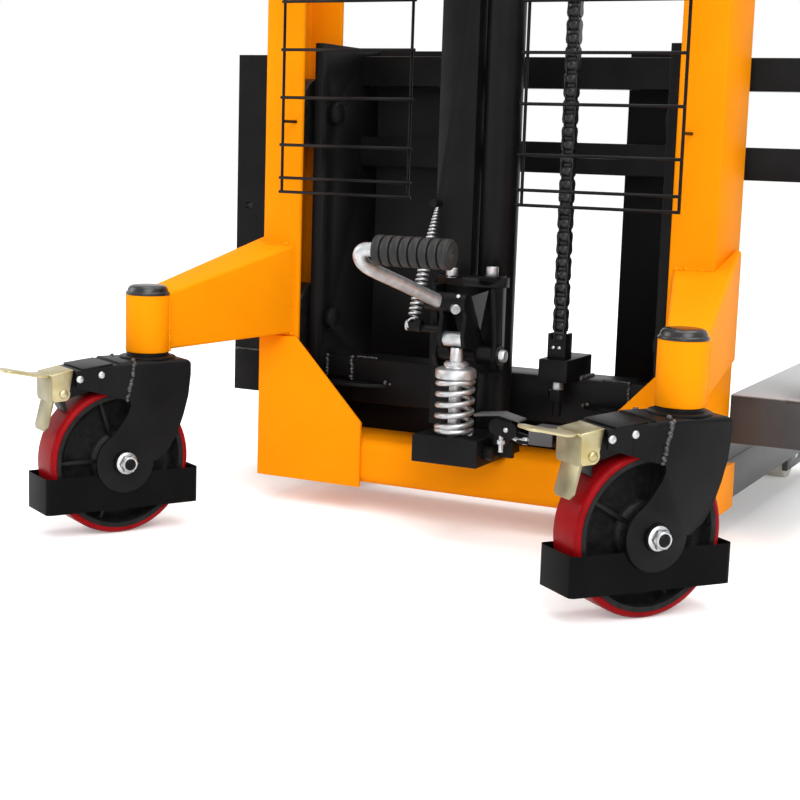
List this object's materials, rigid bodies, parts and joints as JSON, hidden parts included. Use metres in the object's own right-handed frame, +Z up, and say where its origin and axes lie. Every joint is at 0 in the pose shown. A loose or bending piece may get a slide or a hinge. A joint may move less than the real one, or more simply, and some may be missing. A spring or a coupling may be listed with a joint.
{
  "type": "hand pallet stacker",
  "caption": "Foot-pumped hand pallet stacker with a channel mast, chain-lifted fork carriage, low base legs and braked swivel casters on rear outriggers.",
  "frame": {"origin": "on the floor, in the middle of the width of the mast and near the middle of the length", "axes": "+X to the operator's right, +Y forward along the forks, +Z up"},
  "size_m": [0.8607, 1.2667, 2.1],
  "materials": {
    "yellow_paint": "gloss enamel",
    "black_paint": "satin powder coat",
    "fork_grey": "satin grey paint",
    "zinc_steel": "bright zinc plate",
    "yellow_zinc": "yellow passivated zinc",
    "chain_steel": "oiled dark steel",
    "ram_chrome": "hard chrome",
    "cast_core": "black painted casting",
    "red_tread": "satin polyurethane",
    "black_rubber": "matte moulded rubber",
    "roller_nylon": "turned nylon"
  },
  "bodies": {
    "chassis": {"base_beam": "yellow_paint", "mast_posts": "yellow_paint", "corner_gussets": "yellow_paint", "outrigger_arms": "yellow_paint", "arm_side_plates": "yellow_paint", "swivel_tubes": "yellow_paint", "stem_caps": "black_rubber", "mast_top_beam": "yellow_paint", "base_legs": "fork_grey", "load_roller_axles": "zinc_steel", "lift_cylinder": "black_paint", "oil_tank": "black_paint", "pump_block": "black_paint", "pump_bracket": "black_paint", "bracket_fasteners": "zinc_steel", "mesh_guards": "black_paint", "push_handle": "black_paint", "handle_grips": "black_rubber", "stop_bar": "black_paint", "dead_chain": "chain_steel", "return_spring": "zinc_steel", "pump_spring": "zinc_steel", "release_valve": "zinc_steel"},
    "carriage": {"carriage_sides": "black_paint", "cross_tube": "black_paint", "fork_bars": "black_paint", "lift_forks": "fork_grey", "fork_hangers": "black_paint", "roller_axles": "zinc_steel", "chain_anchor": "black_paint", "lift_chain": "chain_steel"},
    "ram": {"ram": "ram_chrome", "chain_over_wheel": "chain_steel"},
    "chain_wheel": {"chain_wheel": "chain_steel"},
    "rocker": {"rocker_arm": "black_paint", "rocker_roller": "zinc_steel", "pedal_bar": "zinc_steel", "pedal_grip": "black_rubber"},
    "plunger": {"pump_plunger": "zinc_steel"},
    "release_lever": {"release_lever": "zinc_steel"},
    "caster_left": {"caster_fork_left": "black_paint", "wheel_guard_left": "black_paint", "kingpin_left": "zinc_steel", "wheel_axle_left": "zinc_steel"},
    "wheel_left": {"wheel_core_left": "cast_core", "wheel_tread_left": "red_tread"},
    "brake_left": {"brake_pedal_left": "yellow_zinc"},
    "load_roller_left": {"load_roller_left": "roller_nylon"},
    "mast_roller_left_low": {"mast_roller_left_low": "zinc_steel"},
    "mast_roller_left_up": {"mast_roller_left_up": "zinc_steel"},
    "caster_right": {"caster_fork_right": "black_paint", "wheel_guard_right": "black_paint", "kingpin_right": "zinc_steel", "wheel_axle_right": "zinc_steel"},
    "wheel_right": {"wheel_core_right": "cast_core", "wheel_tread_right": "red_tread"},
    "brake_right": {"brake_pedal_right": "yellow_zinc"},
    "load_roller_right": {"load_roller_right": "roller_nylon"},
    "mast_roller_right_low": {"mast_roller_right_low": "zinc_steel"},
    "mast_roller_right_up": {"mast_roller_right_up": "zinc_steel"}
  },
  "joints": [
    {"name": "lift", "type": "slide", "parent": "chassis", "child": "carriage", "axis": [0, 0, 1], "range_m": [0, 1.41], "deforming": ["lift_chain"]},
    {"name": "ram_slide", "type": "slide", "parent": "chassis", "child": "ram", "axis": [0, 0, 1], "range_m": [0, 0.705]},
    {"name": "chain_wheel_spin", "type": "hinge", "parent": "ram", "child": "chain_wheel", "pos_m": [0.1115, -0.2382, 1.195], "axis": [1, 0, 0], "continuous": true},
    {"name": "pump_pedal", "type": "hinge", "parent": "chassis", "child": "rocker", "pos_m": [0.006, -0.26, 0.228], "axis": [1, 0, 0], "range_deg": [0, 20], "stiffness_Nm_per_rad": 8, "springref_deg": -20.05},
    {"name": "pump_stroke", "type": "slide", "parent": "chassis", "child": "plunger", "axis": [0, 0, -1], "range_m": [0, 0.0152], "deforming": ["pump_spring"]},
    {"name": "release_press", "type": "hinge", "parent": "chassis", "child": "release_lever", "pos_m": [0.076, -0.304, 0.132], "axis": [0, 1, 0], "range_deg": [0, 12], "stiffness_Nm_per_rad": 0.6, "springref_deg": -20.05},
    {"name": "caster_swivel_left", "type": "hinge", "parent": "chassis", "child": "caster_left", "pos_m": [-0.34, -0.454, 0.22], "axis": [0, 0, 1], "continuous": true},
    {"name": "wheel_spin_left", "type": "hinge", "parent": "caster_left", "child": "wheel_left", "pos_m": [-0.36236, -0.49305, 0.09], "axis": [0.8678, -0.497, 0], "continuous": true},
    {"name": "brake_press_left", "type": "hinge", "parent": "caster_left", "child": "brake_left", "pos_m": [-0.39914, -0.55726, 0.1765], "axis": [0.8678, -0.497, 0], "range_deg": [0, 8]},
    {"name": "load_roller_spin_left", "type": "hinge", "parent": "chassis", "child": "load_roller_left", "pos_m": [-0.253, 0.34, 0.041], "axis": [1, 0, 0], "continuous": true},
    {"name": "mast_roller_left_low_spin", "type": "hinge", "parent": "carriage", "child": "mast_roller_left_low", "pos_m": [-0.277, -0.184, 0.248], "axis": [1, 0, 0], "continuous": true},
    {"name": "mast_roller_left_up_spin", "type": "hinge", "parent": "carriage", "child": "mast_roller_left_up", "pos_m": [-0.277, -0.184, 0.52], "axis": [1, 0, 0], "continuous": true},
    {"name": "caster_swivel_right", "type": "hinge", "parent": "chassis", "child": "caster_right", "pos_m": [0.34, -0.454, 0.22], "axis": [0, 0, 1], "continuous": true},
    {"name": "wheel_spin_right", "type": "hinge", "parent": "caster_right", "child": "wheel_right", "pos_m": [0.31211, -0.48931, 0.09], "axis": [0.7848, -0.6198, 0], "continuous": true},
    {"name": "brake_press_right", "type": "hinge", "parent": "caster_right", "child": "brake_right", "pos_m": [0.26625, -0.54739, 0.1765], "axis": [0.7848, -0.6198, 0], "range_deg": [0, 8]},
    {"name": "load_roller_spin_right", "type": "hinge", "parent": "chassis", "child": "load_roller_right", "pos_m": [0.253, 0.34, 0.041], "axis": [1, 0, 0], "continuous": true},
    {"name": "mast_roller_right_low_spin", "type": "hinge", "parent": "carriage", "child": "mast_roller_right_low", "pos_m": [0.277, -0.184, 0.248], "axis": [1, 0, 0], "continuous": true},
    {"name": "mast_roller_right_up_spin", "type": "hinge", "parent": "carriage", "child": "mast_roller_right_up", "pos_m": [0.277, -0.184, 0.52], "axis": [1, 0, 0], "continuous": true}
  ],
  "couplings": [
    {"joint": "ram_slide", "follows": "lift", "ratio": 0.5},
    {"joint": "chain_wheel_spin", "follows": "lift", "rad_per_m": 21.552},
    {"joint": "pump_stroke", "follows": "pump_pedal", "m_per_rad": 0.0433}
  ]
}
